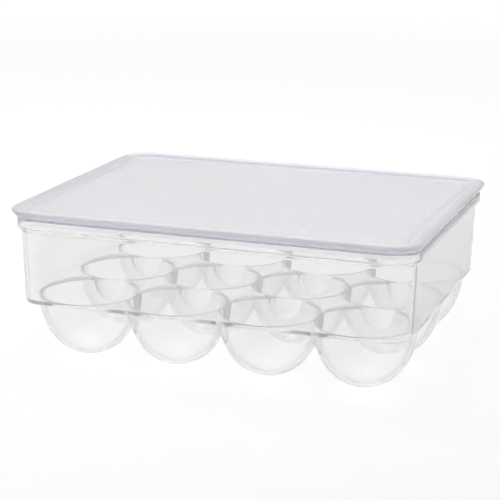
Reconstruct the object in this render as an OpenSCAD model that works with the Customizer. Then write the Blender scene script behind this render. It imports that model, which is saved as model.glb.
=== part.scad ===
// Clear egg keeper: a deep tray with a bed of egg cups hanging under its floor, and a lift-off lid.
// The tray is one moulding in the real keeper. Here its wall and each cup with its square of
// floor are separate solids that meet face to face, so that every cup stays an open hollow.
// Origin: middle of the keeper, on the surface that it stands on. X runs along the long side,
// Y from the front wall to the back wall, Z up.

/* [Egg cups] */
// Number of cups along the long side
cup_columns = 4; // [2:1:6]
// Number of cups along the short side
cup_rows = 3; // [1:1:4]
// Distance between the centres of neighbouring cups
cup_pitch = 55; // [52:0.5:58]
// Inside radius of a cup at the level of the tray floor
cup_r = 27.2; // [25:0.1:28.5]
// Depth of a cup inside, below the tray floor
cup_depth = 34.5; // [30:0.1:42]
// Outside radius of the round bottom of a cup
bowl_r = 26.5; // [22:0.1:28.5]
// Thickness of the cup wall
cup_wall = 2.3; // [1.6:0.1:3]
// Radius of the rounded lip where a cup opens into the floor
cup_lip = 1.6; // [0.4:0.1:1.8]
// Radius of the small flat foot under each cup
foot_r = 4.5; // [3:0.5:7]

/* [Tray] */
// Flat floor left between the outermost cup lips and the wall
floor_margin = 0.1; // [0:0.1:6]
// Thickness of the floor between the cups
floor_t = 2.2; // [1.6:0.1:3]
// Radius of the rounded edge under the floor
floor_edge_r = 2; // [0.5:0.1:3]
// Height of the tray wall above the floor
wall_h = 47.2; // [30:0.1:70]
// Thickness of the tray wall
wall_t = 1.8; // [1.2:0.1:2.4]
// Outside radius of the tray corners at the floor
corner_r = 13.2; // [8:0.1:20]
// Outward lean of the wall, in degrees
wall_lean = 2.1; // [0:0.1:4]

/* [Rim] */
// Height of the stepped-out rim around the mouth of the tray, with the slope under it
rim_h = 7.9; // [6.6:0.1:12]
// How far the rim steps out from the wall
rim_step = 2.4; // [1:0.1:4]
// Height of the slope between the wall and the upright face of the rim
rim_slope_h = 2.7; // [1.5:0.1:4]
// Radius on the outer top edge of the rim
rim_edge_r = 0.8; // [0.2:0.1:1]

/* [Lid] */
// How far the lid reaches past the rim on every side
lid_overhang = 2; // [1.5:0.1:4]
// Outside radius of the lid corners
lid_corner_r = 17; // [13:0.1:22]
// Height of the lid at its edge
edge_h = 5.4; // [5:0.1:8]
// Height of the upright face around the edge
edge_face_h = 1.6; // [1.2:0.1:3]
// How far the edge draws in below its upright face
edge_undercut = 2.8; // [1:0.1:3.2]
// Radius on the outer top edge
edge_r = 0.7; // [0.2:0.1:1]
// Width of the flat top of the lid's border
border_flat_w = 5.5; // [3:0.1:6]
// Width of the round between that flat and the panel
border_round_w = 5; // [3:0.1:6]
// Depth of the panel below the flat of the border
panel_drop = 1.6; // [1:0.1:2]
// Thickness of the lid panel
panel_t = 1.8; // [1:0.1:2.6]
// Depth of the locating ridge below the underside of the lid
ridge_h = 3; // [1.5:0.1:4]
// Thickness of the locating ridge
ridge_t = 1.4; // [1:0.1:2]
// Clearance between the locating ridge and the inside of the rim
ridge_gap = 0.6; // [0.2:0.1:1.2]

/* [Lid ribs] */
// Distance between neighbouring ribs on the panel
rib_pitch = 2.46; // [2:0.01:5]
// Width of a rib at its foot
rib_w = 1.5; // [0.6:0.1:1.8]
// Width of the flat on top of a rib
rib_top_w = 0.5; // [0.2:0.1:0.6]
// Height of a rib
rib_h = 0.2; // [0.1:0.05:0.8]
// Plain strip between the ribs and the foot of the border
rib_margin = 0.8; // [0.4:0.1:2]

/* [Hidden] */
$fn = 96;
// Overlap that fuses two shapes of one piece
bite = 0.4;

// Cup profile: a side arc that is upright at the floor runs into the round bottom
bowl_top_r = cup_r + cup_wall;
bowl_depth = cup_depth + cup_wall;
side_arc_r = (pow(bowl_top_r, 2) + pow(bowl_depth, 2) - 2 * bowl_depth * bowl_r)
    / (2 * (bowl_top_r - bowl_r));
side_arc_angle = atan2(bowl_depth - bowl_r, side_arc_r - bowl_top_r);
foot_cut = bowl_r - sqrt(pow(bowl_r, 2) - pow(foot_r, 2));
floor_z = bowl_depth - foot_cut;

// Corner centres of the tray plan, shared by the floor, the wall, the rim and the lid's ridge
tray_half_x = (cup_columns - 1) / 2 * cup_pitch + cup_r + cup_lip + floor_margin + wall_t;
tray_half_y = (cup_rows - 1) / 2 * cup_pitch + cup_r + cup_lip + floor_margin + wall_t;
tray_cx = tray_half_x - corner_r;
tray_cy = tray_half_y - corner_r;
rim_z = wall_h - rim_h;
tray_top = floor_z + wall_h;
rim_out_r = corner_r + rim_z * tan(wall_lean) + rim_step;
rim_in_r = rim_out_r - wall_t;
// How much higher the slope lies inside than outside, so that the wall keeps its thickness there
slope_rise = wall_t * tan(atan2(rim_step, rim_slope_h) / 2);

// Lid plan, with its own corner centres
lid_cx = tray_cx + rim_out_r + lid_overhang - lid_corner_r;
lid_cy = tray_cy + rim_out_r + lid_overhang - lid_corner_r;
recess_r = lid_corner_r - border_flat_w - border_round_w;
panel_z = edge_h - panel_drop - panel_t;
ridge_out_r = rim_in_r - ridge_gap;
rib_reach = lid_cx + recess_r - rib_margin - rib_w / 2;
rib_count = 2 * floor(rib_reach / rib_pitch) + 1;

function cup_name(column, row) = str("egg_cup_", row * cup_columns + column + 1);

// Plan shape with four round corners: corner centres at (cx, cy), corner radius r
module rounded_plan(cx, cy, r) {
    square([2 * (cx + r), 2 * cy], center = true);
    square([2 * cx, 2 * (cy + r)], center = true);
    for (sx = [-1, 1], sy = [-1, 1])
        translate([sx * cx, sy * cy])
            circle(r);
}

// Carries a section once around the plan. In the section, x is the distance out from the
// corner centre line and y is the height.
module around_plan(cx, cy) {
    for (turn = [0:3]) {
        along = turn % 2 == 0 ? cy : cx;
        out = turn % 2 == 0 ? cx : cy;
        rotate(90 * turn) {
            translate([out, along, 0])
                rotate([90, 0, 0])
                    linear_extrude(2 * along)
                        children();
            translate([out, along, 0])
                rotate_extrude(angle = 90)
                    children();
        }
    }
}

// Half profile of a cup below the floor, drawn in by the given wall thickness
module bowl_profile(inset) {
    joint_y = -(side_arc_r - inset) * sin(side_arc_angle);
    intersection() {
        translate([bowl_top_r - side_arc_r, 0])
            circle(side_arc_r - inset);
        translate([0, joint_y])
            square([bowl_top_r, -joint_y]);
    }
    intersection() {
        translate([0, bowl_r - bowl_depth])
            circle(bowl_r - inset);
        translate([0, -bowl_depth])
            square([bowl_top_r, bowl_depth + joint_y]);
    }
}

// What is hollow in a cup: the inside of the bowl and the rounded lip
module cup_hollow() {
    rotate_extrude() {
        bowl_profile(cup_wall);
        difference() {
            translate([0, -cup_lip])
                square([cup_r + cup_lip, cup_lip]);
            translate([cup_r + cup_lip, -cup_lip])
                circle(cup_lip);
        }
    }
}

// The whole floor plate, with its rounded lower edge, from the floor level down
module floor_plate() {
    around_plan(tray_cx, tray_cy)
        intersection() {
            union() {
                polygon([
                    [0, -floor_t],
                    [corner_r - floor_edge_r, -floor_t],
                    [corner_r, floor_edge_r - floor_t],
                    [corner_r, 0],
                    [0, 0],
                ]);
                translate([corner_r - floor_edge_r, floor_edge_r - floor_t])
                    circle(floor_edge_r);
            }
            translate([0, -floor_t])
                square([corner_r, floor_t]);
        }
    translate([-tray_cx, -tray_cy, -floor_t])
        cube([2 * tray_cx, 2 * tray_cy, floor_t]);
}

// The square of the bed that belongs to one cup. An outermost square reaches past the edge.
module cup_cell(column, row) {
    x0 = column == 0 ? -tray_half_x - bite : (column - cup_columns / 2) * cup_pitch;
    x1 = column == cup_columns - 1 ? tray_half_x + bite : (column + 1 - cup_columns / 2) * cup_pitch;
    y0 = row == 0 ? -tray_half_y - bite : (row - cup_rows / 2) * cup_pitch;
    y1 = row == cup_rows - 1 ? tray_half_y + bite : (row + 1 - cup_rows / 2) * cup_pitch;
    translate([x0, y0, -floor_z])
        cube([x1 - x0, y1 - y0, floor_z]);
}

// One egg cup with its square of floor. Columns run from the left, rows from the front.
module egg_cup(column, row) {
    centre = [(column - (cup_columns - 1) / 2) * cup_pitch, (row - (cup_rows - 1) / 2) * cup_pitch, 0];
    color([0.90, 0.90, 0.94, 0.45])
        translate([0, 0, floor_z])
            intersection() {
                cup_cell(column, row);
                difference() {
                    union() {
                        floor_plate();
                        translate(centre)
                            rotate_extrude()
                                bowl_profile(0);
                    }
                    translate(centre)
                        cup_hollow();
                }
            }
}

// Tray wall: leans out from the floor, then slopes out to the upright rim that takes the lid
module tray_wall() {
    lean = tan(wall_lean);
    ledge_z = rim_z + slope_rise;
    color([0.88, 0.88, 0.92, 0.45])
        translate([0, 0, floor_z])
            around_plan(tray_cx, tray_cy) {
                polygon([
                    [corner_r - wall_t, 0],
                    [corner_r, 0],
                    [corner_r + rim_z * lean, rim_z],
                    [rim_out_r, rim_z + rim_slope_h],
                    [rim_out_r, wall_h - rim_edge_r],
                    [rim_out_r - rim_edge_r, wall_h],
                    [rim_in_r, wall_h],
                    [rim_in_r, ledge_z + rim_slope_h],
                    [corner_r - wall_t + ledge_z * lean, ledge_z],
                ]);
                translate([rim_out_r - rim_edge_r, wall_h - rim_edge_r])
                    circle(rim_edge_r);
            }
}

// Section of the lid's border: a nearly sharp top edge over a face that draws in towards the
// rim, a flat top, and a wide round down to the panel
module border_section() {
    round_r = (pow(border_round_w, 2) + pow(panel_drop, 2)) / (2 * panel_drop);
    flat_x = lid_corner_r - border_flat_w;
    seat_x = ridge_out_r - ridge_t + bite - (lid_cx - tray_cx);
    polygon([
        [seat_x, 0],
        [lid_corner_r - edge_undercut, 0],
        [lid_corner_r, edge_h - edge_face_h],
        [lid_corner_r, edge_h - edge_r],
        [lid_corner_r - edge_r, edge_h],
        [flat_x, edge_h],
        [flat_x, panel_z],
        [seat_x, panel_z],
    ]);
    translate([lid_corner_r - edge_r, edge_h - edge_r])
        circle(edge_r);
    intersection() {
        translate([flat_x, edge_h - round_r])
            circle(round_r);
        translate([recess_r, panel_z])
            square([border_round_w + bite, edge_h - panel_z]);
    }
}

// Fine ribs that run from the front to the back of the lid panel, drawn as one comb
module panel_ribs() {
    last = (rib_count - 1) / 2;
    edge = last * rib_pitch + rib_w / 2;
    intersection() {
        translate([0, lid_cy + recess_r, 0])
            rotate([90, 0, 0])
                linear_extrude(2 * (lid_cy + recess_r))
                    polygon(concat(
                        [[-edge, -bite]],
                        [for (i = [-last:last], p = [[-rib_w, 0], [-rib_top_w, rib_h], [rib_top_w, rib_h], [rib_w, 0]])
                            [i * rib_pitch + p[0] / 2, p[1]]],
                        [[edge, -bite]]
                    ));
        translate([0, 0, -bite])
            linear_extrude(bite + rib_h)
                rounded_plan(lid_cx, lid_cy, recess_r - rib_margin);
    }
}

// Lid: ribbed panel inside a raised border, with a ridge underneath that drops inside the rim
module lid() {
    color([0.84, 0.84, 0.91, 0.5])
        translate([0, 0, tray_top]) {
            around_plan(lid_cx, lid_cy)
                border_section();
            translate([0, 0, panel_z])
                linear_extrude(panel_t)
                    rounded_plan(lid_cx, lid_cy, recess_r + bite);
            translate([0, 0, panel_z + panel_t])
                panel_ribs();
            around_plan(tray_cx, tray_cy)
                translate([ridge_out_r - ridge_t, -ridge_h])
                    square([ridge_t, ridge_h + panel_z + bite]);
        }
}

tray_wall();
for (row = [0:cup_rows - 1], column = [0:cup_columns - 1])
    egg_cup(column, row);
lid();
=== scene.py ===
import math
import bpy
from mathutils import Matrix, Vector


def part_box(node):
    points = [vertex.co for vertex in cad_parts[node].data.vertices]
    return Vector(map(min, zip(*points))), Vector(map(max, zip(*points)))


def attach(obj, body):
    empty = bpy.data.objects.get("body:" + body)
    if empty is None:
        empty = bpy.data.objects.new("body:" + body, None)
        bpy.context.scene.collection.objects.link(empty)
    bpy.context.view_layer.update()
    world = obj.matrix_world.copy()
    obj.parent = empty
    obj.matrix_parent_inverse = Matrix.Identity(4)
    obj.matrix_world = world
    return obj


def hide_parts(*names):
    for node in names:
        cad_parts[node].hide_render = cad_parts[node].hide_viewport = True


bl_info = {
    "name": "Clear egg keeper",
    "version": (1, 0, 0),
    "blender": (4, 5, 0),
    "location": "3D View > Sidebar > Egg keeper",
    "description": "Builds a clear egg keeper: a tray with twelve cups and a ribbed lid",
    "category": "Add Mesh",
}

import bmesh
import bpy
from bpy.props import FloatProperty, FloatVectorProperty, IntProperty, PointerProperty
from mathutils import Matrix, Vector

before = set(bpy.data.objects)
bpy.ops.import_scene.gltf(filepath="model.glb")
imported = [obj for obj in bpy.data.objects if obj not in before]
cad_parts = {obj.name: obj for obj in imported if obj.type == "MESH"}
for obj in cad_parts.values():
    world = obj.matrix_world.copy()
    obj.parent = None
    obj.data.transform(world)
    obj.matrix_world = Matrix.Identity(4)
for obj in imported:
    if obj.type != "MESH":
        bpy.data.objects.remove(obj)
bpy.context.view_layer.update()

# What the CAD frame already says: the cells, the floor level, the mouth of the tray and the lid.
CELL_LOW, CELL_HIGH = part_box("egg_cup_6")
BED_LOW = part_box("egg_cup_1")[0]
WALL_LOW, WALL_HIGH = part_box("tray_wall")
LID_LOW, LID_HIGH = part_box("lid")

MM = 0.001


class EggTraySizes(bpy.types.PropertyGroup):
    columns: IntProperty(name="Columns", description="Cups along the long side", default=4, min=1)
    rows: IntProperty(name="Rows", description="Cups along the short side", default=3, min=1)
    pitch: FloatProperty(
        name="Cup pitch", description="Distance between the centres of neighbouring cups",
        default=CELL_HIGH.x - CELL_LOW.x, unit="LENGTH", precision=4,
    )
    floor_level: FloatProperty(
        name="Floor level", description="Height of the tray floor above the surface that the cups stand on",
        default=CELL_HIGH.z, unit="LENGTH", precision=4,
    )
    cup_radius: FloatProperty(
        name="Cup radius", description="Inside radius of a cup at the tray floor",
        default=27.2 * MM, unit="LENGTH", precision=4,
    )
    cup_wall: FloatProperty(
        name="Cup wall", description="Thickness of the cup wall", default=2.3 * MM, unit="LENGTH", precision=4,
    )
    bowl_radius: FloatProperty(
        name="Round bottom", description="Outside radius of the round bottom of a cup",
        default=26.5 * MM, unit="LENGTH", precision=4,
    )
    bowl_depth: FloatProperty(
        name="Cup depth", description="Outside depth of a cup below the tray floor, before its foot is cut flat",
        default=36.8 * MM, unit="LENGTH", precision=4,
    )
    lip: FloatProperty(
        name="Lip", description="Radius of the rounded lip where a cup opens into the floor",
        default=1.6 * MM, unit="LENGTH", precision=4,
    )
    foot: FloatProperty(
        name="Foot", description="Radius of the small flat under each cup", default=4.5 * MM, unit="LENGTH", precision=4,
    )
    floor_thickness: FloatProperty(
        name="Floor thickness", description="Thickness of the floor between the cups",
        default=2.2 * MM, unit="LENGTH", precision=4,
    )
    floor_edge: FloatProperty(
        name="Lower edge", description="Radius of the rounded edge under the floor",
        default=1.1 * MM, unit="LENGTH", precision=4,
    )
    wall: FloatProperty(
        name="Wall", description="Thickness of the tray wall", default=1.8 * MM, unit="LENGTH", precision=4,
    )
    corner: FloatProperty(
        name="Corner", description="Outside radius of the tray corners at the floor",
        default=13.2 * MM, unit="LENGTH", precision=4,
    )
    lean: FloatProperty(
        name="Lean", description="Outward lean of the tray wall", default=math.radians(2.1), subtype="ANGLE",
    )
    rim_height: FloatProperty(
        name="Rim height", description="Height of the stepped-out rim, with the slope under it",
        default=7.9 * MM, unit="LENGTH", precision=4,
    )
    rim_step: FloatProperty(
        name="Rim step", description="How far the rim steps out from the wall",
        default=2.4 * MM, unit="LENGTH", precision=4,
    )
    rim_slope: FloatProperty(
        name="Rim slope", description="Height of the slope between the wall and the upright face of the rim",
        default=2.7 * MM, unit="LENGTH", precision=4,
    )
    rim_edge: FloatProperty(
        name="Rim edge", description="Radius on the outer top edge of the rim",
        default=0.8 * MM, unit="LENGTH", precision=4,
    )
    soft_edge: FloatProperty(
        name="Soft edge", description="Small radius that the mould leaves on the remaining edges",
        default=0.35 * MM, unit="LENGTH", precision=5,
    )


class EggLidSizes(bpy.types.PropertyGroup):
    half_x: FloatProperty(
        name="Half length", description="Half the outside length of the lid", default=LID_HIGH.x, unit="LENGTH", precision=4,
    )
    half_y: FloatProperty(
        name="Half width", description="Half the outside width of the lid", default=LID_HIGH.y, unit="LENGTH", precision=4,
    )
    corner: FloatProperty(
        name="Corner", description="Outside radius of the lid corners", default=17.0 * MM, unit="LENGTH", precision=4,
    )
    edge_height: FloatProperty(
        name="Edge height", description="Height of the lid at its edge", default=5.4 * MM, unit="LENGTH", precision=4,
    )
    edge_face: FloatProperty(
        name="Edge face", description="Height of the upright face around the edge",
        default=1.6 * MM, unit="LENGTH", precision=4,
    )
    undercut: FloatProperty(
        name="Undercut", description="How far the edge draws in below its upright face",
        default=2.8 * MM, unit="LENGTH", precision=4,
    )
    edge_radius: FloatProperty(
        name="Edge radius", description="Radius on the outer top edge", default=0.7 * MM, unit="LENGTH", precision=4,
    )
    border_flat: FloatProperty(
        name="Border flat", description="Width of the flat top of the border", default=5.5 * MM, unit="LENGTH", precision=4,
    )
    border_round: FloatProperty(
        name="Border round", description="Width of the round between that flat and the panel",
        default=5.0 * MM, unit="LENGTH", precision=4,
    )
    panel_drop: FloatProperty(
        name="Panel drop", description="Depth of the panel below the flat of the border",
        default=1.6 * MM, unit="LENGTH", precision=4,
    )
    panel: FloatProperty(
        name="Panel", description="Thickness of the lid panel", default=1.8 * MM, unit="LENGTH", precision=4,
    )
    ridge_depth: FloatProperty(
        name="Ridge depth", description="Depth of the locating ridge below the underside of the lid",
        default=3.0 * MM, unit="LENGTH", precision=4,
    )
    ridge: FloatProperty(
        name="Ridge", description="Thickness of the locating ridge", default=1.4 * MM, unit="LENGTH", precision=4,
    )
    ridge_gap: FloatProperty(
        name="Ridge gap", description="Clearance between the locating ridge and the inside of the rim",
        default=0.6 * MM, unit="LENGTH", precision=4,
    )
    rib_pitch: FloatProperty(
        name="Rib pitch", description="Distance between neighbouring ribs", default=2.46 * MM, unit="LENGTH", precision=5,
    )
    rib_width: FloatProperty(
        name="Rib width", description="Width of a rib at its foot", default=1.5 * MM, unit="LENGTH", precision=5,
    )
    rib_top: FloatProperty(
        name="Rib top", description="Width of the flat on top of a rib", default=0.5 * MM, unit="LENGTH", precision=5,
    )
    rib_height: FloatProperty(
        name="Rib height", description="Height of a rib", default=0.04 * MM, unit="LENGTH", precision=5,
    )
    rib_margin: FloatProperty(
        name="Rib margin", description="Plain strip between the ribs and the foot of the border",
        default=0.8 * MM, unit="LENGTH", precision=4,
    )


class EggPlasticFinish(bpy.types.PropertyGroup):
    tray_tint: FloatVectorProperty(
        name="Tray tint", description="Surface colour of the clear tray", subtype="COLOR", size=3,
        default=(0.98, 0.974, 0.974), min=0.0, max=1.0,
    )
    lid_tint: FloatVectorProperty(
        name="Lid tint", description="Surface colour of the clear lid", subtype="COLOR", size=3,
        default=(0.935, 0.924, 0.942), min=0.0, max=1.0,
    )
    # Painted shade: a grey laid into the plastic's colour where its surface is seen edge-on, standing in for the dark
    # outlines that refraction draws there; the two edge starts below set where it begins
    edge_shade_tint: FloatVectorProperty(
        name="Edge shade tint", description="Colour of the plastic where it is seen edge-on", subtype="COLOR", size=3,
        default=(0.45, 0.44, 0.475), min=0.0, max=1.0,
    )
    tray_edge_shade_start: FloatProperty(
        name="Tray edge start", description="How far the tray's surface turns away before the edge tint sets in",
        default=0.5, min=0.0, max=0.99, subtype="FACTOR",
    )
    lid_edge_shade_start: FloatProperty(
        name="Lid edge start", description="How far the lid's surface turns away before the edge tint sets in",
        default=0.86, min=0.0, max=0.99, subtype="FACTOR",
    )
    # Painted shade: a dark lavender line along the lid's lower edge where it sits on the rim, standing in for the
    # shadow gap at the joint; the seat band is its height
    seat_shade_tint: FloatVectorProperty(
        name="Seat shade tint", description="Colour of the lid's lower edge, where light gathers in the seat",
        subtype="COLOR", size=3, default=(0.30, 0.275, 0.41), min=0.0, max=1.0,
    )
    seat_shade_band: FloatProperty(
        name="Seat shade band", description="Height of the tinted line along the lid's lower edge",
        default=1.4 * MM, unit="LENGTH", precision=4,
    )
    tray_depth_tint: FloatVectorProperty(
        name="Tray depth tint", description="Colour that thick plastic of the tray takes on", subtype="COLOR", size=3,
        default=(0.62, 0.61, 0.66), min=0.0, max=1.0,
    )
    tray_depth: FloatProperty(
        name="Tray depth", description="How fast the tray's depth tint builds up, per metre of plastic",
        default=10.0, min=0.0,
    )
    lid_depth_tint: FloatVectorProperty(
        name="Lid depth tint", description="Colour that thick plastic of the lid takes on", subtype="COLOR", size=3,
        default=(0.62, 0.60, 0.74), min=0.0, max=1.0,
    )
    lid_depth: FloatProperty(
        name="Lid depth", description="How fast the lid's depth tint builds up, per metre of plastic",
        default=12.0, min=0.0,
    )
    clearness: FloatProperty(
        name="Clearness", description="Share of the light that passes a surface; the rest is a milky haze",
        default=0.85, min=0.0, max=1.0, subtype="FACTOR",
    )
    ior: FloatProperty(name="Refraction", description="Refractive index of the plastic", default=1.49, min=1.0)
    roughness: FloatProperty(
        name="Roughness", description="Roughness of the moulded surface",
        default=0.02, min=0.0, max=1.0, subtype="FACTOR",
    )
    top_roughness: FloatProperty(
        name="Top roughness", description="Roughness of the lid's upper side, which blurs what lies below",
        default=0.34, min=0.0, max=1.0, subtype="FACTOR",
    )
    waviness: FloatProperty(
        name="Waviness", description="Depth of the slight ripple that the mould leaves",
        default=0.02 * MM, unit="LENGTH", precision=6,
    )


class EggStageSettings(bpy.types.PropertyGroup):
    lens: FloatProperty(name="Lens", description="Focal length on a 36 mm wide sensor", default=113.4, subtype="DISTANCE_CAMERA")
    azimuth: FloatProperty(name="Azimuth", description="Camera direction, to the right of the front", default=math.radians(19.587), subtype="ANGLE")
    elevation: FloatProperty(name="Elevation", description="Camera height above the horizon", default=math.radians(14.841), subtype="ANGLE")
    roll: FloatProperty(name="Roll", description="Tilt of the picture", default=math.radians(0.361), subtype="ANGLE")
    distance: FloatProperty(name="Distance", description="Distance from the keeper's middle", default=944.81 * MM, unit="LENGTH")
    aim_right: FloatProperty(name="Aim right", description="Picture centre, to the right of the origin", default=-3.59 * MM, unit="LENGTH", precision=4)
    aim_up: FloatProperty(name="Aim up", description="Picture centre, above the origin", default=53.08 * MM, unit="LENGTH", precision=4)
    floor_colour: FloatVectorProperty(
        name="Floor", description="Colour of the floor", subtype="COLOR", size=3, default=(0.80, 0.80, 0.80), min=0.0, max=1.0,
    )
    backdrop_reach: FloatProperty(
        name="Backdrop", description="Half the angle that the white backdrop fills, seen from the keeper",
        default=math.radians(20), subtype="ANGLE",
    )
    backdrop_turn: FloatProperty(
        name="Backdrop turn", description="How far left of the picture's middle the backdrop's own middle stands",
        default=math.radians(5), subtype="ANGLE",
    )
    room_tone: FloatProperty(
        name="Room tone", description="Brightness of the room beside and in front of the backdrop",
        default=0.6, min=0.0, max=1.0, subtype="FACTOR",
    )
    room_light: FloatProperty(
        name="Room light", description="Strength of the soft light that the room sheds", default=0.62, min=0.0,
    )
    floor_lift: FloatProperty(
        name="Floor lift", description="What is added to the lit floor so that it shows as white",
        default=0.165, min=0.0,
    )


def plain_mesh(name, points, faces, sharp=35.0):
    """A closed, outward-facing mesh object from points and faces, smooth except at real edges."""
    mesh = bpy.data.meshes.new(name)
    mesh.from_pydata(points, [], faces)
    bm = bmesh.new()
    bm.from_mesh(mesh)
    bmesh.ops.remove_doubles(bm, verts=bm.verts, dist=2e-6)
    bmesh.ops.dissolve_degenerate(bm, edges=bm.edges, dist=1e-7)
    bmesh.ops.recalc_face_normals(bm, faces=bm.faces)
    open_edges = sum(1 for e in bm.edges if len(e.link_faces) != 2)
    if open_edges:
        raise RuntimeError(f"{name} has {open_edges} open edges")
    bm.to_mesh(mesh)
    bm.free()
    mesh.polygons.foreach_set("use_smooth", [True] * len(mesh.polygons))
    mesh.set_sharp_from_angle(angle=math.radians(sharp))
    piece = bpy.data.objects.new(name, mesh)
    bpy.context.scene.collection.objects.link(piece)
    return piece


def arc(cx, cz, radius, start, end, steps):
    """Points on a circle in a section, angles in degrees."""
    out = []
    for i in range(steps + 1):
        a = math.radians(start + (end - start) * i / steps)
        out.append((cx + radius * math.cos(a), cz + radius * math.sin(a)))
    return out


def soften(section, radius, steps=3):
    """Rounds the corners of an open section line that carry a third value, their own radius factor."""
    out = []
    for i, point in enumerate(section):
        factor = point[2] if len(point) > 2 else 0.0
        p = Vector(point[:2])
        if not factor or i in (0, len(section) - 1):
            out.append((p.x, p.y))
            continue
        a, b = Vector(section[i - 1][:2]), Vector(section[i + 1][:2])
        u, v = (a - p).normalized(), (b - p).normalized()
        half = u.angle(v) / 2
        r = radius * factor
        centre = p + (u + v).normalized() * (r / math.sin(half))
        first, last = p + u * (r / math.tan(half)), p + v * (r / math.tan(half))
        for k in range(steps + 1):
            q = first.lerp(last, k / steps)
            q = centre + (q - centre).normalized() * r
            out.append((q.x, q.y))
    return out


def solve(low, high, value):
    """The place between low and high where value changes from below zero to above it."""
    for _ in range(48):
        middle = (low + high) / 2
        if value(middle) < 0:
            low = middle
        else:
            high = middle
    return (low + high) / 2


class TrayShape:
    """The tray worked out from its sizes: one moulding of wall, rim, floor and cups."""

    DIRECTIONS = 80
    CORNER_STEPS = 16
    PLATE_STEPS = 8

    def __init__(self, s):
        self.s = s
        self.top_r = s.cup_radius + s.cup_wall
        self.side_r = (self.top_r**2 + s.bowl_depth**2 - 2 * s.bowl_depth * s.bowl_radius) / (
            2 * (self.top_r - s.bowl_radius)
        )
        self.side_c = self.top_r - self.side_r
        self.bottom_c = s.bowl_depth - s.bowl_radius
        self.side_a = math.atan2(self.bottom_c, self.side_r - self.top_r)
        self.lip_c = s.cup_radius + s.lip
        self.half = s.pitch / 2
        self.cx = -BED_LOW.x - s.corner
        self.cy = -BED_LOW.y - s.corner
        self.foot_d = self.bottom_c + math.sqrt(s.bowl_radius**2 - s.foot**2)

    # The wall and the floor share one outline. A station is a place along it.
    def at(self, station, rho):
        kind, k, t = station
        if kind == "side":
            return [(self.cx + rho, t), (t, self.cy + rho), (-self.cx - rho, t), (t, -self.cy - rho)][k]
        sx, sy = [(1, 1), (-1, 1), (-1, -1), (1, -1)][k]
        return sx * (self.cx + rho * math.cos(t)), sy * (self.cy + rho * math.sin(t))

    def rho(self, x, y):
        """How far out a place lies from the corner centre line."""
        dx, dy = abs(x) - self.cx, abs(y) - self.cy
        if dx > 0 and dy > 0:
            return math.hypot(dx, dy)
        return max(dx, dy)

    def under(self, x, y):
        """Depth of the floor's underside, with its rounded edge."""
        s = self.s
        out = self.rho(x, y) - (s.corner - s.floor_edge)
        if out <= 0:
            return s.floor_thickness
        return s.floor_thickness - s.floor_edge + math.sqrt(max(s.floor_edge**2 - out**2, 0.0))

    def bowl(self, r):
        """Depth of a cup's outside at that radius."""
        joint_r = self.side_c + self.side_r * math.cos(self.side_a)
        if r >= joint_r:
            return math.sqrt(max(self.side_r**2 - (r - self.side_c) ** 2, 0.0))
        return self.bottom_c + math.sqrt(self.s.bowl_radius**2 - r**2)

    def edge_points(self, column, row):
        """The cell's edge, seen from its cup's centre: (angle, station or None) all the way round."""
        s = self.s
        ox = (column - (s.columns - 1) / 2) * s.pitch
        oy = (row - (s.rows - 1) / 2) * s.pitch
        foot = s.corner - s.wall
        sides = [
            (column == s.columns - 1, self.cx + foot - ox),
            (row == s.rows - 1, self.cy + foot - oy),
            (column == 0, self.cx + foot + ox),
            (row == 0, self.cy + foot + oy),
        ]
        reach = [d if outer else self.half for outer, d in sides]
        angles = [2 * math.pi * i / self.DIRECTIONS for i in range(self.DIRECTIONS)]
        for r in (self.lip_c, self.side_c + self.side_r * math.cos(math.asin(s.floor_thickness / self.side_r))):
            cross = math.acos(min(self.half / r, 1.0))
            angles += [q * math.pi / 2 + sign * cross for q in range(4) for sign in (-1, 1)]
        points = []
        for a in angles:
            c, n = math.cos(a), math.sin(a)
            hits = []
            for k, (d, along) in enumerate(((c, n), (n, c), (-c, n), (-n, c))):
                if d > 1e-9:
                    hits.append((reach[k] / d, k))
            distance, k = min(hits)
            x, y = ox + distance * c, oy + distance * n
            if not sides[k][0]:
                if self.rho(x, y) < foot - 1e-6:
                    points.append((a, None))
                continue
            if abs(y if k % 2 == 0 else x) < (self.cy if k % 2 == 0 else self.cx) - 1e-6:
                points.append((a, ("side", k, y if k % 2 == 0 else x)))
        for k in range(4):
            if not sides[k][0]:
                continue
            for turn, far in (((k + 1) % 4, 1), ((k + 3) % 4, -1)):
                if sides[turn][0]:
                    corner = {(0, 1): 0, (1, 2): 1, (2, 3): 2, (0, 3): 3}[tuple(sorted((k, turn)))]
                    for i in range(self.CORNER_STEPS + 1):
                        points.append((None, ("corner", corner, math.pi / 2 * i / self.CORNER_STEPS)))
                else:
                    middle = (oy, ox)[k % 2]
                    sign = {0: {1: 1, 3: -1}, 1: {0: 1, 2: -1}, 2: {1: 1, 3: -1}, 3: {0: 1, 2: -1}}[k][turn]
                    points.append((None, ("side", k, middle + sign * self.half)))
        out = []
        for a, station in points:
            if a is None:
                x, y = self.at(station, foot)
                a = math.atan2(y - oy, x - ox)
            out.append((a % (2 * math.pi), station))
        out.sort(key=lambda p: p[0])
        kept = []
        for a, station in out:
            if kept and a - kept[-1][0] < 0.002:
                if station is not None and kept[-1][1] is None:
                    kept[-1] = (a, station)
                continue
            kept.append((a, station))
        return (ox, oy), kept

    def ray_end(self, origin, a, station, rho):
        """Where a ray from the cup's centre ends: on the outline, or on the line to the next cup."""
        ox, oy = origin
        if station is not None:
            x, y = self.at(station, rho)
            return x - ox, y - oy
        c, n = math.cos(a), math.sin(a)
        d = self.half / max(abs(c), abs(n))
        return d * c, d * n

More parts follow.
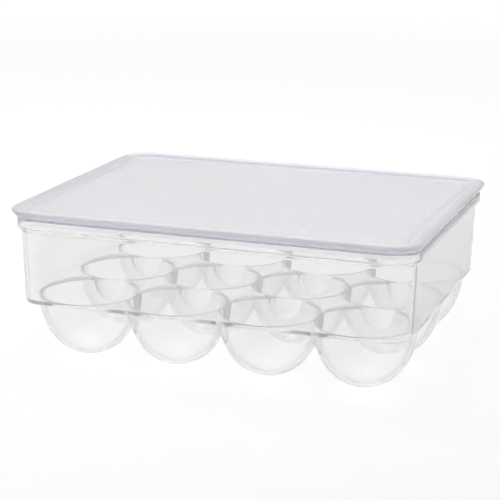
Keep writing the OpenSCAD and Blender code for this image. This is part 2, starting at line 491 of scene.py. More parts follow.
    def upper_ray(self, origin, a, station):
        s = self.s
        x, y = self.ray_end(origin, a, station, s.corner - s.wall)
        b = math.hypot(x, y)
        ux, uy = x / b, y / b
        line = []
        inner_bottom, inner_side = s.bowl_radius - s.cup_wall, self.side_r - s.cup_wall
        side_deg = math.degrees(self.side_a)
        line += arc(0, -self.bottom_c, inner_bottom, -90, -side_deg, 11)
        lip_deg = math.degrees(math.asin(s.lip / inner_side))
        line += arc(self.side_c, 0, inner_side, -side_deg, -lip_deg, 8)[1:]
        if b >= self.lip_c:
            line += arc(self.lip_c, -s.lip, s.lip, 180, 90, 7)[1:]
            line += [(b, 0.0)]
        else:
            end = math.degrees(math.acos((b - self.lip_c) / s.lip))
            line += arc(self.lip_c, -s.lip, s.lip, 180, end, 8)[1:]
        return [(origin[0] + r * ux, origin[1] + r * uy, s.floor_level + z) for r, z in line]

    def lower_ray(self, origin, a, station):
        s = self.s
        x, y = self.ray_end(origin, a, station, s.corner)
        b = math.hypot(x, y)
        ux, uy = x / b, y / b
        ox, oy = origin

        def gap(r):
            return self.under(ox + r * ux, oy + r * uy) - self.bowl(min(r, self.top_r))

        web = gap(min(b, self.top_r)) < 0
        meet = b if web else solve(s.foot, min(b, self.top_r), gap)
        side_deg = math.degrees(self.side_a)
        line = [(0.0, -self.foot_d), (s.foot * 0.5, -self.foot_d)]
        start = math.degrees(math.asin(s.foot / s.bowl_radius)) - 90
        line += arc(0, -self.bottom_c, s.bowl_radius, start, -side_deg, 10)
        stop = math.degrees(math.asin(self.bowl(meet) / self.side_r))
        line += arc(self.side_c, 0, self.side_r, -side_deg, -stop, 8)[1:]
        line[-1] = (meet, -self.bowl(meet))
        n = self.PLATE_STEPS
        if web:
            line += [line[-1]] * n
            return [(ox + r * ux, oy + r * uy, s.floor_level + z) for r, z in line]

        def out(r):
            return self.rho(ox + r * ux, oy + r * uy) - (s.corner - s.floor_edge)

        first, last = max(out(meet), 0.0), min(max(out(b), 0.0), s.floor_edge)
        flat = 2 if out(meet) < 0 else 0
        bend = meet if out(meet) >= 0 else (solve(meet, b, out) if out(b) > 0 else b)
        for i in range(1, flat + 1):
            r = meet + (bend - meet) * i / flat
            line.append((r, -self.under(ox + r * ux, oy + r * uy)))
        a0, a1 = math.asin(first / s.floor_edge), math.asin(last / s.floor_edge)
        for i in range(1, n - flat + 1):
            want = s.floor_edge * math.sin(a0 + (a1 - a0) * i / (n - flat))
            r = b if i == n - flat or out(b) <= 0 else solve(bend, b, lambda q: out(q) - want)
            line.append((r, -self.under(ox + r * ux, oy + r * uy)))
        return [(ox + r * ux, oy + r * uy, s.floor_level + z) for r, z in line]

    def wall_section(self):
        """The wall from its foot inside, over the rim, down to the rounded edge outside."""
        s = self.s
        lean = math.tan(s.lean)
        height = WALL_HIGH.z - s.floor_level
        rim_z = height - s.rim_height
        ledge = rim_z + s.wall * math.tan(math.atan2(s.rim_step, s.rim_slope) / 2)
        rim_out = s.corner + rim_z * lean + s.rim_step
        rim_in = rim_out - s.wall
        inner = s.corner - s.wall
        e = s.rim_edge
        line = [
            (inner, 0.0),
            (inner + ledge * lean, ledge, 3.0),
            (rim_in, ledge + s.rim_slope, 2.0),
            (rim_in, height, 0.8),
        ]
        line += arc(rim_out - e, height - e, e, 90, 0, 5)
        line += [
            (rim_out, rim_z + s.rim_slope, 2.0),
            (s.corner + rim_z * lean, rim_z, 2.0),
            (s.corner, 0.0),
            (s.corner, s.floor_edge - s.floor_thickness),
        ]
        return soften(line, s.soft_edge)

    def build(self):
        s = self.s
        points, faces = [], []

        def sheet(rays, closed):
            base, n = len(points), len(rays[0])
            for ray in rays:
                points.extend(ray)
            count = len(rays)
            for i in range(count if closed else count - 1):
                j = (i + 1) % count
                for k in range(n - 1):
                    faces.append((base + i * n + k, base + j * n + k, base + j * n + k + 1, base + i * n + k + 1))

        stations = {}
        for row in range(s.rows):
            for column in range(s.columns):
                origin, edge = self.edge_points(column, row)
                sheet([self.upper_ray(origin, a, st) for a, st in edge], True)
                sheet([self.lower_ray(origin, a, st) for a, st in edge], True)
                for _, st in edge:
                    if st is not None:
                        x, y = self.at(st, s.corner)
                        stations[(round(x, 7), round(y, 7))] = st
        order = sorted(stations.items(), key=lambda p: math.atan2(p[0][1], p[0][0]))
        section = self.wall_section()
        rays = []
        for _, st in order:
            rays.append([(*self.at(st, rho), s.floor_level + z) for rho, z in section])
        sheet(rays, True)
        return plain_mesh("tray", points, faces)


class EGGKEEPER_OT_tray(bpy.types.Operator):
    """Builds the clear tray as one moulding: floor, twelve cups, leaning wall and stepped rim"""

    bl_idname = "eggkeeper.tray"
    bl_label = "Clear tray"

    def execute(self, context):
        s = context.scene.egg_tray
        tray = TrayShape(s).build()
        tray.data.materials.append(clear_plastic("tray plastic", context.scene.egg_finish, "tray"))
        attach(tray, "tray")
        cups = [f"egg_cup_{i + 1}" for i in range(s.columns * s.rows)]
        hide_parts("tray_wall", *cups)
        return {"FINISHED"}


def lid_loops(s, tray):
    """The lid's outside as rounded-rectangle loops (corner centre x, y, radius, level), under side first."""
    t = TrayShape(tray)
    lean = math.tan(tray.lean)
    seat = WALL_HIGH.z
    rim_in = tray.corner + (seat - tray.floor_level - tray.rim_height) * lean + tray.rim_step - tray.wall
    ridge_out = rim_in - s.ridge_gap
    ridge_in = ridge_out - s.ridge
    top = seat + s.edge_height
    face = top - s.edge_face
    panel = top - s.panel_drop
    under = panel - s.panel
    cx, cy = s.half_x - s.corner, s.half_y - s.corner
    e = s.edge_radius
    flat = s.corner - s.border_flat
    round_r = (s.border_round**2 + s.panel_drop**2) / (2 * s.panel_drop)
    foot = math.degrees(math.asin(s.border_round / round_r))
    ridge = [
        (ridge_in, under),
        (ridge_in, seat - s.ridge_depth, 1.0),
        (ridge_out, seat - s.ridge_depth, 1.0),
        (ridge_out, seat),
    ]
    border = [(s.corner - s.undercut - 1.2 * MM, seat), (s.corner - s.undercut, seat, 1.0), (s.corner, face, 6.0)]
    border += arc(s.corner - e, top - e, e, 0, 90, 5)
    border += arc(flat, top - round_r, round_r, 90, 90 + foot, 9)
    border[-1] += (2.0,)
    border += [(flat - s.border_round - 0.6 * MM, panel)]
    loops = [(t.cx, t.cy, r, z) for r, z in soften(ridge, 0.35 * MM)]
    loops += [(cx, cy, r, z) for r, z in soften(border, 0.35 * MM)]
    return loops


def build_lid_shell(s, tray):
    loops = lid_loops(s, tray)
    corner_steps, side_steps = 16, 6
    points, faces = [], []
    for cx, cy, r, z in loops:
        for k, (sx, sy) in enumerate(((1, 1), (-1, 1), (-1, -1), (1, -1))):
            for i in range(corner_steps + 1):
                a = math.pi / 2 * i / corner_steps
                if k % 2:
                    a = math.pi / 2 - a
                points.append((sx * (cx + r * math.cos(a)), sy * (cy + r * math.sin(a)), z))
            nx, ny = ((-1, 1), (-1, -1), (1, -1), (1, 1))[k]
            end = (sx * cx, sy * (cy + r)) if k % 2 == 0 else (sx * (cx + r), sy * cy)
            begin = (nx * cx, ny * (cy + r)) if k % 2 == 0 else (nx * (cx + r), ny * cy)
            for i in range(1, side_steps):
                f = i / side_steps
                points.append((end[0] + (begin[0] - end[0]) * f, end[1] + (begin[1] - end[1]) * f, z))
    n = 4 * (corner_steps + 1 + side_steps - 1)
    for level in range(len(loops) - 1):
        for i in range(n):
            j = (i + 1) % n
            a, b = level * n, (level + 1) * n
            faces.append((a + i, a + j, b + j, b + i))
    faces.append(tuple(range(n)))
    faces.append(tuple(range((len(loops) - 1) * n, len(loops) * n)))
    return plain_mesh("lid", points, faces)


def node(tree, kind, **settings):
    made = tree.nodes.new(kind)
    for key, value in settings.items():
        setattr(made, key, value)
    return made


def maths(tree, operation, *values, clamp=False):
    """A Math node; each value is a number or a socket. Returns its output."""
    made = node(tree, "ShaderNodeMath", operation=operation, use_clamp=clamp)
    for socket, value in zip(made.inputs, values):
        if isinstance(value, (int, float)):
            socket.default_value = value
        else:
            tree.links.new(value, socket)
    return made.outputs[0]


def rib_tree():
    """Geometry Nodes: a comb of ribs from front to back, cut to the panel's round corners and fused with it."""
    tree = bpy.data.node_groups.new("Lid ribs", "GeometryNodeTree")
    face = tree.interface
    face.new_socket("Lid", in_out="INPUT", socket_type="NodeSocketGeometry")
    for name, text in (
        ("Pitch", "Distance between ribs"),
        ("Foot Width", "Width of a rib at its foot"),
        ("Top Width", "Width of the flat on top"),
        ("Height", "Height of a rib"),
        ("Sink", "How deep a rib is set into the panel"),
        ("Level", "Height of the panel's face"),
        ("Corner X", "Corner centre along X"),
        ("Corner Y", "Corner centre along Y"),
        ("Corner Radius", "Radius of the ribbed field's corners"),
    ):
        socket = face.new_socket(name, in_out="INPUT", socket_type="NodeSocketFloat")
        socket.description = text
        socket.subtype = "DISTANCE"
    face.new_socket("Count", in_out="INPUT", socket_type="NodeSocketInt")
    face.new_socket("Plastic", in_out="INPUT", socket_type="NodeSocketMaterial")
    face.new_socket("Lid", in_out="OUTPUT", socket_type="NodeSocketGeometry")
    links = tree.links
    given = node(tree, "NodeGroupInput").outputs
    result = node(tree, "NodeGroupOutput")

    # One rib, one metre long: a block whose upper face is drawn in
    block = node(tree, "GeometryNodeMeshCube")
    block.inputs["Size"].default_value = (1.0, 1.0, 1.0)
    place = node(tree, "GeometryNodeInputPosition")
    parts = node(tree, "ShaderNodeSeparateXYZ")
    links.new(place.outputs[0], parts.inputs[0])
    is_top = maths(tree, "GREATER_THAN", parts.outputs["Z"], 0.0)
    is_foot = maths(tree, "SUBTRACT", 1.0, is_top)
    width = maths(
        tree, "ADD", maths(tree, "MULTIPLY", is_top, given["Top Width"]), maths(tree, "MULTIPLY", is_foot, given["Foot Width"])
    )
    rise = maths(
        tree, "SUBTRACT", maths(tree, "MULTIPLY", is_top, given["Height"]), maths(tree, "MULTIPLY", is_foot, given["Sink"])
    )
    put = node(tree, "ShaderNodeCombineXYZ")
    links.new(maths(tree, "MULTIPLY", parts.outputs["X"], width), put.inputs["X"])
    links.new(parts.outputs["Y"], put.inputs["Y"])
    links.new(rise, put.inputs["Z"])
    rib = node(tree, "GeometryNodeSetPosition")
    links.new(block.outputs["Mesh"], rib.inputs["Geometry"])
    links.new(put.outputs[0], rib.inputs["Position"])

    # A row of places across the panel
    row = node(tree, "GeometryNodeMeshLine", mode="OFFSET", count_mode="TOTAL")
    links.new(given["Count"], row.inputs["Count"])
    span = maths(tree, "MULTIPLY", maths(tree, "SUBTRACT", given["Count"], 1.0), given["Pitch"])
    start = node(tree, "ShaderNodeCombineXYZ")
    links.new(maths(tree, "MULTIPLY", span, -0.5), start.inputs["X"])
    links.new(given["Level"], start.inputs["Z"])
    step = node(tree, "ShaderNodeCombineXYZ")
    links.new(given["Pitch"], step.inputs["X"])
    links.new(start.outputs[0], row.inputs["Start Location"])
    links.new(step.outputs[0], row.inputs["Offset"])

    # Each rib is as long as the field is at its place
    here = node(tree, "ShaderNodeSeparateXYZ")
    links.new(place.outputs[0], here.inputs[0])
    edge = maths(tree, "ADD", maths(tree, "ABSOLUTE", here.outputs["X"]), maths(tree, "MULTIPLY", given["Foot Width"], 0.5))
    past = maths(tree, "MAXIMUM", maths(tree, "SUBTRACT", edge, given["Corner X"]), 0.0)
    rest = maths(tree, "SUBTRACT", maths(tree, "POWER", given["Corner Radius"], 2.0), maths(tree, "POWER", past, 2.0))
    half = maths(tree, "ADD", given["Corner Y"], maths(tree, "SQRT", maths(tree, "MAXIMUM", rest, 0.0)))
    size = node(tree, "ShaderNodeCombineXYZ")
    size.inputs["X"].default_value = 1.0
    size.inputs["Z"].default_value = 1.0
    links.new(maths(tree, "MULTIPLY", half, 2.0), size.inputs["Y"])
    comb = node(tree, "GeometryNodeInstanceOnPoints")
    links.new(row.outputs["Mesh"], comb.inputs["Points"])
    links.new(rib.outputs["Geometry"], comb.inputs["Instance"])
    links.new(size.outputs[0], comb.inputs["Scale"])
    real = node(tree, "GeometryNodeRealizeInstances")
    links.new(comb.outputs["Instances"], real.inputs["Geometry"])
    fuse = node(tree, "GeometryNodeMeshBoolean", operation="UNION")
    links.new(given["Lid"], fuse.inputs["Mesh 2"])
    links.new(real.outputs["Geometry"], fuse.inputs["Mesh 2"])
    whole = node(tree, "GeometryNodeRealizeInstances")
    links.new(fuse.outputs["Mesh"], whole.inputs["Geometry"])
    paint = node(tree, "GeometryNodeSetMaterial")
    links.new(whole.outputs["Geometry"], paint.inputs["Geometry"])
    links.new(given["Plastic"], paint.inputs["Material"])
    links.new(paint.outputs["Geometry"], result.inputs["Lid"])
    return tree


def baked(piece, tree, values, sharp=35.0):
    """Runs a tree on the piece with named inputs and keeps the result as its plain mesh."""
    modifier = piece.modifiers.new(tree.name, "NODES")
    modifier.node_group = tree
    sockets = {i.name: i.identifier for i in tree.interface.items_tree if getattr(i, "in_out", "") == "INPUT"}
    for name, value in values.items():
        modifier[sockets[name]] = value
    bpy.context.view_layer.update()
    graph = bpy.context.evaluated_depsgraph_get()
    mesh = bpy.data.meshes.new_from_object(piece.evaluated_get(graph), depsgraph=graph)
    piece.modifiers.remove(modifier)
    old, piece.data = piece.data, mesh
    mesh.name = piece.name
    bpy.data.meshes.remove(old)
    mesh.polygons.foreach_set("use_smooth", [True] * len(mesh.polygons))
    mesh.set_sharp_from_angle(angle=math.radians(sharp))
    return piece


class EGGKEEPER_OT_lid(bpy.types.Operator):
    """Builds the clear lid: ribbed panel, raised border and locating ridge"""

    bl_idname = "eggkeeper.lid"
    bl_label = "Ribbed lid"

    def execute(self, context):
        s = context.scene.egg_lid
        lid = build_lid_shell(s, context.scene.egg_tray)
        plastic = clear_plastic("lid plastic", context.scene.egg_finish, "lid")
        cx, cy = s.half_x - s.corner, s.half_y - s.corner
        field_r = s.corner - s.border_flat - s.border_round - s.rib_margin
        count = 2 * math.floor((cx + field_r - s.rib_width / 2) / s.rib_pitch) + 1
        baked(
            lid,
            rib_tree(),
            {
                "Pitch": s.rib_pitch,
                "Foot Width": s.rib_width,
                "Top Width": s.rib_top,
                "Height": s.rib_height,
                "Sink": 0.2 * MM,
                "Level": WALL_HIGH.z + s.edge_height - s.panel_drop,
                "Corner X": cx,
                "Corner Y": cy,
                "Corner Radius": field_r,
                "Count": count,
                "Plastic": plastic,
            },
        )
        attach(lid, "lid")
        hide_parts("lid")
        return {"FINISHED"}


def moulded_surface():
    """Shader group: the slight ripple and the uneven gloss that a mould leaves on clear plastic."""
    name = "Moulded surface"
    if name in bpy.data.node_groups:
        return bpy.data.node_groups[name]
    tree = bpy.data.node_groups.new(name, "ShaderNodeTree")
    face = tree.interface
    for socket, default in (("Ripple Scale", 40.0), ("Roughness", 0.02), ("Roughness Spread", 0.02)):
        face.new_socket(socket, in_out="INPUT", socket_type="NodeSocketFloat").default_value = default
    face.new_socket("Height", in_out="OUTPUT", socket_type="NodeSocketFloat")
    face.new_socket("Roughness", in_out="OUTPUT", socket_type="NodeSocketFloat")
    given = node(tree, "NodeGroupInput").outputs
    result = node(tree, "NodeGroupOutput")
    where = node(tree, "ShaderNodeTexCoord")
    ripple = node(tree, "ShaderNodeTexNoise")
    ripple.inputs["Detail"].default_value = 1.5
    ripple.inputs["Roughness"].default_value = 0.4
    tree.links.new(where.outputs["Object"], ripple.inputs["Vector"])
    tree.links.new(given["Ripple Scale"], ripple.inputs["Scale"])
    tree.links.new(ripple.outputs["Fac"], result.inputs["Height"])
    cloud = node(tree, "ShaderNodeTexNoise")
    cloud.inputs["Scale"].default_value = 95.0
    cloud.inputs["Detail"].default_value = 3.0
    tree.links.new(where.outputs["Object"], cloud.inputs["Vector"])
    spread = maths(tree, "MULTIPLY", cloud.outputs["Fac"], given["Roughness Spread"])
    tree.links.new(maths(tree, "ADD", given["Roughness"], spread, clamp=True), result.inputs["Roughness"])
    return tree


def lid_zones():
    """Shader group: masks of the lid's painted seat shade, a dark line low on its undercut where it sits on the tray's
    rim, and of its upper side.
    """
    name = "Lid zones"
    if name in bpy.data.node_groups:
        return bpy.data.node_groups[name]
    tree = bpy.data.node_groups.new(name, "ShaderNodeTree")
    for socket in ("Seat", "Band", "Corner X", "Corner Y", "Foot", "Top"):
        tree.interface.new_socket(socket, in_out="INPUT", socket_type="NodeSocketFloat")
    for socket in ("Seat Line", "Upper Side"):
        tree.interface.new_socket(socket, in_out="OUTPUT", socket_type="NodeSocketFloat")
    given = node(tree, "NodeGroupInput").outputs
    result = node(tree, "NodeGroupOutput")
    where = node(tree, "ShaderNodeTexCoord")
    parts = node(tree, "ShaderNodeSeparateXYZ")
    tree.links.new(where.outputs["Object"], parts.inputs[0])
    # Painted seat shade: full low on the upright edge, fading out towards the top of its band, and only outside the
    # flat underside
    above = maths(tree, "SUBTRACT", parts.outputs["Z"], given["Seat"])
    seat_shade_fade = node(tree, "ShaderNodeMapRange", interpolation_type="SMOOTHSTEP")
    tree.links.new(maths(tree, "DIVIDE", above, given["Band"]), seat_shade_fade.inputs["Value"])
    seat_shade_fade.inputs["From Min"].default_value = 0.75
    seat_shade_fade.inputs["From Max"].default_value = 1.1
    seat_shade_fade.inputs["To Min"].default_value = 1.0
    seat_shade_fade.inputs["To Max"].default_value = 0.0
    out_x = maths(tree, "MAXIMUM", maths(tree, "SUBTRACT", maths(tree, "ABSOLUTE", parts.outputs["X"]), given["Corner X"]), 0.0)
    out_y = maths(tree, "MAXIMUM", maths(tree, "SUBTRACT", maths(tree, "ABSOLUTE", parts.outputs["Y"]), given["Corner Y"]), 0.0)
    square = maths(tree, "ADD", maths(tree, "POWER", out_x, 2.0), maths(tree, "POWER", out_y, 2.0))
    out = maths(tree, "SQRT", square)
    outside = maths(tree, "GREATER_THAN", out, given["Foot"])
    upright = maths(tree, "GREATER_THAN", above, 0.03 * MM)
    on_edge = maths(tree, "MULTIPLY", outside, upright)
    tree.links.new(maths(tree, "MULTIPLY", seat_shade_fade.outputs["Result"], on_edge), result.inputs["Seat Line"])
    tree.links.new(maths(tree, "GREATER_THAN", parts.outputs["Z"], given["Top"]), result.inputs["Upper Side"])
    return tree


def clear_plastic(name, finish, part):
    """Clear moulded plastic: glossy, faintly milky and rippled, lavender where it is thick, with painted shade: greyer
    where seen edge-on and, on the lid, a painted dark line along the seat.
    """
    if name in bpy.data.materials:
        return bpy.data.materials[name]
    material = bpy.data.materials.new(name)
    material.use_nodes = True
    tree = material.node_tree
    tree.nodes.clear()
    surface = node(tree, "ShaderNodeGroup", node_tree=moulded_surface())
    surface.inputs["Roughness"].default_value = finish.roughness
    bump = node(tree, "ShaderNodeBump")
    bump.inputs["Distance"].default_value = finish.waviness
    tree.links.new(surface.outputs["Height"], bump.inputs["Height"])
    # Painted shade: where the surface turns edge-on to the view, the colour goes over to the grey edge tint, standing
    # in for the dark outlines of refraction
    facing = node(tree, "ShaderNodeLayerWeight")
    facing.inputs["Blend"].default_value = 0.5
    rim = node(tree, "ShaderNodeMapRange")
    rim.inputs["From Min"].default_value = finish.tray_edge_shade_start if part == "tray" else finish.lid_edge_shade_start
    rim.inputs["From Max"].default_value = 1.0
    tree.links.new(facing.outputs["Facing"], rim.inputs["Value"])
    tint = node(tree, "ShaderNodeMix", data_type="RGBA")
    tint.inputs["A"].default_value = (*(finish.tray_tint if part == "tray" else finish.lid_tint), 1.0)
    tint.inputs["B"].default_value = (*finish.edge_shade_tint, 1.0)
    tree.links.new(rim.outputs["Result"], tint.inputs["Factor"])
    colour = tint.outputs["Result"]
    rough = surface.outputs["Roughness"]
    if part == "lid":
        sizes = bpy.context.scene.egg_lid
        # Painted shade: a dark lavender line low on the lid's undercut, at its joint with the tray's rim
        line = node(tree, "ShaderNodeGroup", node_tree=lid_zones())
        line.inputs["Top"].default_value = WALL_HIGH.z + sizes.edge_height - sizes.panel_drop - 0.1 * MM
        line.inputs["Seat"].default_value = WALL_HIGH.z
        line.inputs["Band"].default_value = finish.seat_shade_band
        line.inputs["Corner X"].default_value = sizes.half_x - sizes.corner
        line.inputs["Corner Y"].default_value = sizes.half_y - sizes.corner
        line.inputs["Foot"].default_value = sizes.corner - sizes.undercut - 1.2 * MM
        seat = node(tree, "ShaderNodeMix", data_type="RGBA")
        tree.links.new(line.outputs["Seat Line"], seat.inputs["Factor"])
        tree.links.new(colour, seat.inputs["A"])
        seat.inputs["B"].default_value = (*finish.seat_shade_tint, 1.0)
        colour = seat.outputs["Result"]
        extra = maths(tree, "MULTIPLY", line.outputs["Upper Side"], finish.top_roughness - finish.roughness)
        rough = maths(tree, "ADD", rough, extra)
    shell = node(tree, "ShaderNodeBsdfPrincipled")
    shell.inputs["IOR"].default_value = finish.ior
    shell.inputs["Transmission Weight"].default_value = finish.clearness
    shell.inputs["Metallic"].default_value = 0.0
    tree.links.new(colour, shell.inputs["Base Color"])
    tree.links.new(rough, shell.inputs["Roughness"])
    tree.links.new(bump.outputs["Normal"], shell.inputs["Normal"])
    # Light reaches the floor through the plastic, so its shadow stays pale
    light = node(tree, "ShaderNodeLightPath")
    through = node(tree, "ShaderNodeBsdfTransparent")
    through.inputs["Color"].default_value = (0.97, 0.97, 0.972, 1.0)
    mix = node(tree, "ShaderNodeMixShader")
    tree.links.new(light.outputs["Is Shadow Ray"], mix.inputs["Fac"])
    tree.links.new(shell.outputs["BSDF"], mix.inputs[1])
    tree.links.new(through.outputs["BSDF"], mix.inputs[2])
    depth = node(tree, "ShaderNodeVolumeAbsorption")
    depth.inputs["Color"].default_value = (*(finish.tray_depth_tint if part == "tray" else finish.lid_depth_tint), 1.0)
    depth.inputs["Density"].default_value = finish.tray_depth if part == "tray" else finish.lid_depth
    out = node(tree, "ShaderNodeOutputMaterial")
    tree.links.new(mix.outputs[0], out.inputs["Surface"])
    tree.links.new(depth.outputs["Volume"], out.inputs["Volume"])
    return material


def seen_rays(tree):
    """One for rays that show a background: to the camera, in a reflection or through plastic."""
    light = node(tree, "ShaderNodeLightPath")
    seen = maths(tree, "MAXIMUM", light.outputs["Is Glossy Ray"], light.outputs["Is Transmission Ray"])
    return light.outputs["Is Camera Ray"], seen


def studio_world(s):
    """A pale room with a white backdrop behind the keeper. The camera sees white wherever it stands."""
    world = bpy.data.worlds.new("Pale studio")
    bpy.context.scene.world = world
    world.use_nodes = True
    tree = world.node_tree
    tree.nodes.clear()
    where = node(tree, "ShaderNodeTexCoord")
    # How squarely a direction meets the backdrop, by its compass bearing alone
    level = node(tree, "ShaderNodeVectorMath", operation="MULTIPLY")
    level.inputs[1].default_value = (1, 1, 0)
    tree.links.new(where.outputs["Generated"], level.inputs[0])
    bearing = node(tree, "ShaderNodeVectorMath", operation="NORMALIZE")
    tree.links.new(level.outputs[0], bearing.inputs[0])
    square = node(tree, "ShaderNodeVectorMath", operation="DOT_PRODUCT")
    middle = s.azimuth + s.backdrop_turn
    square.inputs[1].default_value = (-math.sin(middle), math.cos(middle), 0)
    tree.links.new(bearing.outputs[0], square.inputs[0])
    sweep = node(tree, "ShaderNodeMapRange", interpolation_type="SMOOTHSTEP")
    sweep.inputs["From Min"].default_value = math.cos(s.backdrop_reach * 2)
    sweep.inputs["From Max"].default_value = math.cos(s.backdrop_reach)
    sweep.inputs["To Min"].default_value = s.room_tone
    tree.links.new(square.outputs["Value"], sweep.inputs["Value"])
    # Towards the ceiling the backdrop ends
    parts = node(tree, "ShaderNodeSeparateXYZ")
    tree.links.new(where.outputs["Generated"], parts.inputs[0])
    ceiling = node(tree, "ShaderNodeMapRange", interpolation_type="SMOOTHSTEP")
    ceiling.inputs["From Min"].default_value = 0.45
    ceiling.inputs["From Max"].default_value = 0.85
    tree.links.new(parts.outputs["Z"], ceiling.inputs["Value"])
    tone = node(tree, "ShaderNodeMix", data_type="FLOAT")
    tree.links.new(ceiling.outputs["Result"], tone.inputs["Factor"])
    tree.links.new(sweep.outputs["Result"], tone.inputs["A"])
    tone.inputs["B"].default_value = 0.85
    camera, seen = seen_rays(tree)
    backdrop = maths(tree, "MULTIPLY", seen, tone.outputs["Result"])
    room = maths(tree, "MULTIPLY", maths(tree, "SUBTRACT", 1.0, seen), s.room_light)
    away = maths(tree, "MULTIPLY", maths(tree, "ADD", backdrop, room), maths(tree, "SUBTRACT", 1.0, camera))
    glow = node(tree, "ShaderNodeBackground")
    glow.inputs["Color"].default_value = (1, 1, 1, 1)
    tree.links.new(maths(tree, "ADD", away, camera), glow.inputs["Strength"])
    out = node(tree, "ShaderNodeOutputWorld")
    tree.links.new(glow.outputs[0], out.inputs["Surface"])


def floor_material(s):
    """Pale matt floor, lifted to white for rays that show a background. It keeps the keeper's shadow."""
    material = bpy.data.materials.new("pale floor")
    material.use_nodes = True
    tree = material.node_tree
    tree.nodes.clear()
    where = node(tree, "ShaderNodeTexCoord")
    speck = node(tree, "ShaderNodeTexNoise")
    speck.inputs["Scale"].default_value = 30.0
    tree.links.new(where.outputs["Object"], speck.inputs["Vector"])
    tone = node(tree, "ShaderNodeMix", data_type="RGBA")
    tone.inputs["A"].default_value = (*s.floor_colour, 1)
    tone.inputs["B"].default_value = (*[c * 0.995 for c in s.floor_colour], 1)
    tree.links.new(speck.outputs["Fac"], tone.inputs["Factor"])
    matt = node(tree, "ShaderNodeBsdfDiffuse")
    tree.links.new(tone.outputs["Result"], matt.inputs["Color"])
    # The lamps fade with the distance, so the lift grows with it
    away = node(tree, "ShaderNodeVectorMath", operation="LENGTH")
    tree.links.new(where.outputs["Object"], away.inputs[0])
    lift = node(tree, "ShaderNodeMapRange")
    lift.inputs["From Min"].default_value = 0.3
    lift.inputs["From Max"].default_value = 2.0
    lift.inputs["To Min"].default_value = s.floor_lift
    lift.inputs["To Max"].default_value = s.floor_lift + 0.36
    tree.links.new(away.outputs["Value"], lift.inputs["Value"])
    camera, seen = seen_rays(tree)
    glow = node(tree, "ShaderNodeEmission")
    glow.inputs["Color"].default_value = (1, 1, 1, 1)
    shown = maths(tree, "MAXIMUM", camera, seen)
    tree.links.new(maths(tree, "MULTIPLY", shown, lift.outputs["Result"]), glow.inputs["Strength"])
    both = node(tree, "ShaderNodeAddShader")
    tree.links.new(matt.outputs[0], both.inputs[0])
    tree.links.new(glow.outputs[0], both.inputs[1])
    out = node(tree, "ShaderNodeOutputMaterial")
    tree.links.new(both.outputs[0], out.inputs["Surface"])
    return material


def area_lamp(name, place, aim, size, power):
    data = bpy.data.lights.new(name, "AREA")
    data.shape = "RECTANGLE"
    data.size, data.size_y = size
    data.energy = power
    lamp = bpy.data.objects.new(name, data)
    bpy.context.scene.collection.objects.link(lamp)
    lamp.location = place
    lamp.rotation_euler = (Vector(aim) - Vector(place)).to_track_quat("-Z", "Y").to_euler()
    return lamp


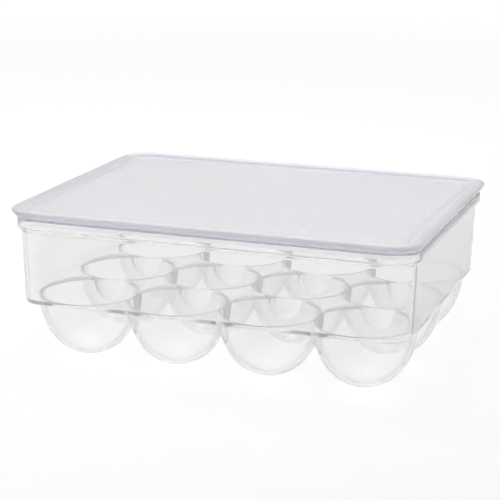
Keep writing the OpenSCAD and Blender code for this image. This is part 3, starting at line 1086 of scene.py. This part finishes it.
class EGGKEEPER_OT_stage(bpy.types.Operator):
    """Sets the pale floor, the soft studio light and the camera"""

    bl_idname = "eggkeeper.stage"
    bl_label = "Floor, light and camera"

    def execute(self, context):
        s = context.scene.egg_stage
        mesh = bpy.data.meshes.new("floor")
        ring = [(4 * math.cos(math.tau * i / 64), 4 * math.sin(math.tau * i / 64), -0.2 * MM) for i in range(64)]
        mesh.from_pydata(ring, [], [tuple(range(64))])
        floor = bpy.data.objects.new("floor", mesh)
        context.scene.collection.objects.link(floor)
        mesh.materials.append(floor_material(s))
        studio_world(s)
        area_lamp("soft light above", (-0.15, 0.25, 1.15), (0, 0, 0.04), (0.9, 0.7), 6.0)
        area_lamp("soft light left", (-0.95, -0.75, 0.65), (0, 0, 0.05), (0.5, 0.7), 3.0)

        a, e, r = s.azimuth, s.elevation, s.roll
        back = Vector((math.sin(a) * math.cos(e), -math.cos(a) * math.cos(e), math.sin(e)))
        right = Vector((math.cos(a), math.sin(a), 0))
        up = back.cross(right)
        right, up = right * math.cos(r) + up * math.sin(r), up * math.cos(r) - right * math.sin(r)
        data = bpy.data.cameras.new("camera")
        data.lens, data.sensor_width = s.lens, 36.0
        data.clip_start, data.clip_end = 0.05, 50.0
        camera = bpy.data.objects.new("camera", data)
        context.scene.collection.objects.link(camera)
        place = right * s.aim_right + up * s.aim_up + back * s.distance
        turn = Matrix((right, up, back)).transposed().to_4x4()
        camera.matrix_world = Matrix.Translation(place) @ turn
        context.scene.camera = camera
        context.scene.view_settings.view_transform = "Standard"
        # Light runs far inside clear plastic, so a ray may turn many times before it is dropped
        cycles = context.scene.cycles
        cycles.max_bounces = cycles.glossy_bounces = cycles.transmission_bounces = 32
        cycles.transparent_max_bounces = 40
        return {"FINISHED"}


class EGGKEEPER_PT_panel(bpy.types.Panel):
    bl_label = "Egg keeper"
    bl_idname = "EGGKEEPER_PT_panel"
    bl_space_type = "VIEW_3D"
    bl_region_type = "UI"
    bl_category = "Egg keeper"

    def draw(self, context):
        scene = context.scene
        for operator, settings in (
            ("eggkeeper.tray", scene.egg_tray),
            ("eggkeeper.lid", scene.egg_lid),
            ("eggkeeper.stage", scene.egg_stage),
        ):
            box = self.layout.box()
            box.operator(operator)
            for key in settings.__annotations__:
                box.prop(settings, key)
        box = self.layout.box()
        for key in scene.egg_finish.__annotations__:
            box.prop(scene.egg_finish, key)


CLASSES = (
    EggTraySizes,
    EggLidSizes,
    EggPlasticFinish,
    EggStageSettings,
    EGGKEEPER_OT_tray,
    EGGKEEPER_OT_lid,
    EGGKEEPER_OT_stage,
    EGGKEEPER_PT_panel,
)


def register():
    for cls in CLASSES:
        bpy.utils.register_class(cls)
    bpy.types.Scene.egg_tray = PointerProperty(type=EggTraySizes)
    bpy.types.Scene.egg_lid = PointerProperty(type=EggLidSizes)
    bpy.types.Scene.egg_finish = PointerProperty(type=EggPlasticFinish)
    bpy.types.Scene.egg_stage = PointerProperty(type=EggStageSettings)


def unregister():
    for name in ("egg_tray", "egg_lid", "egg_finish", "egg_stage"):
        delattr(bpy.types.Scene, name)
    for cls in reversed(CLASSES):
        bpy.utils.unregister_class(cls)


def main():
    register()
    bpy.ops.eggkeeper.stage()
    bpy.ops.eggkeeper.tray()
    bpy.ops.eggkeeper.lid()


if __name__ == "__main__":
    main()
